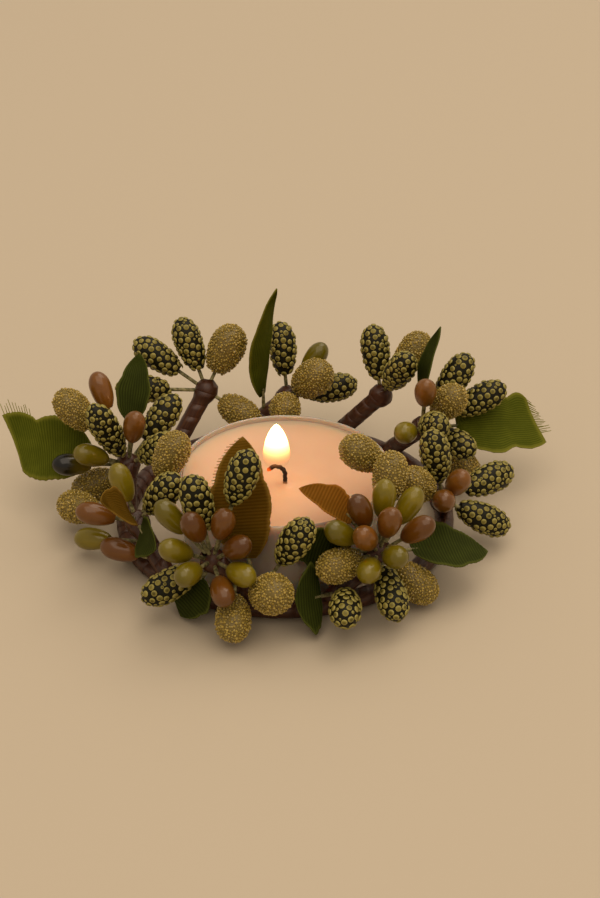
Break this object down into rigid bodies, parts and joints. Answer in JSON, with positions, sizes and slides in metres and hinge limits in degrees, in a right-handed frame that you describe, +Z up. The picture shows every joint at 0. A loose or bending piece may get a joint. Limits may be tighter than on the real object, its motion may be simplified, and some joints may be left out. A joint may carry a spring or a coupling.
{
  "type": "candle ring",
  "caption": "Wreath of wired berries, glossy pips and woven leaves on a taped wire hoop, lying loosely round a tealight in a clear cup.",
  "frame": {"origin": "centre of the tealight's flat base, on the table", "axes": "+Z up; the side of the ring nearest to the tealight faces -Y, which is the front; +X to the right seen from the front"},
  "size_m": [0.1027, 0.0783, 0.0373],
  "materials": {
    "clear_cup": "clear moulded polystyrene",
    "wax": "smooth paraffin wax, dished by burning",
    "wick": "charred cotton braid",
    "steel": "tinned steel",
    "paper_tape": "red-brown waxed paper tape, wrapped",
    "stem_wire": "wire covered in pale olive paper",
    "dotted_berry": "dark green ground with raised cream dots",
    "sugared_berry": "khaki, coated in small clear beads",
    "brown_pip": "glossy brown lacquer",
    "green_pip": "glossy olive lacquer",
    "leaf_cloth": "green woven polyester with ribs"
  },
  "bodies": {
    "tealight": {"tealight_cup": "clear_cup", "tealight_wax": "wax", "tealight_wick": "wick", "wick_sustainer": "steel"},
    "wreath": {"back_branch": "paper_tape", "back_dotted_berries": "dotted_berry", "back_green_pips": "green_pip", "back_leaves": "leaf_cloth", "back_left_branch": "paper_tape", "back_left_dotted_berries": "dotted_berry", "back_left_stems": "stem_wire", "back_left_sugared_berries": "sugared_berry", "back_stems": "stem_wire", "back_sugared_berries": "sugared_berry", "front_left_branch": "paper_tape", "front_left_brown_pips": "brown_pip", "front_left_dotted_berries": "dotted_berry", "front_left_green_pips": "green_pip", "front_left_leaves": "leaf_cloth", "front_left_stems": "stem_wire", "front_left_sugared_berries": "sugared_berry", "front_right_branch": "paper_tape", "front_right_brown_pips": "brown_pip", "front_right_dotted_berries": "dotted_berry", "front_right_green_pips": "green_pip", "front_right_leaves": "leaf_cloth", "front_right_stems": "stem_wire", "front_right_sugared_berries": "sugared_berry", "hoop_tape": "paper_tape", "hoop_wire": "steel", "left_branch": "paper_tape", "left_brown_pips": "brown_pip", "left_dotted_berries": "dotted_berry", "left_front_branch": "paper_tape", "left_front_brown_pips": "brown_pip", "left_front_dotted_berries": "dotted_berry", "left_front_green_pips": "green_pip", "left_front_leaves": "leaf_cloth", "left_front_stems": "stem_wire", "left_front_sugared_berries": "sugared_berry", "left_green_pips": "green_pip", "left_leaves": "leaf_cloth", "left_stems": "stem_wire", "left_sugared_berries": "sugared_berry", "right_back_branch": "paper_tape", "right_back_dotted_berries": "dotted_berry", "right_back_stems": "stem_wire", "right_back_sugared_berries": "sugared_berry", "right_branch": "paper_tape", "right_brown_pips": "brown_pip", "right_dotted_berries": "dotted_berry", "right_front_branch": "paper_tape", "right_front_brown_pips": "brown_pip", "right_front_dotted_berries": "dotted_berry", "right_front_stems": "stem_wire", "right_front_sugared_berries": "sugared_berry", "right_green_pips": "green_pip", "right_leaves": "leaf_cloth", "right_stems": "stem_wire", "right_sugared_berries": "sugared_berry"}
  },
  "joints": [
    {"name": "ring_lift", "type": "slide", "parent": "tealight", "child": "wreath", "axis": [0, 0, 1], "range_m": [0, 0.05]}
  ]
}
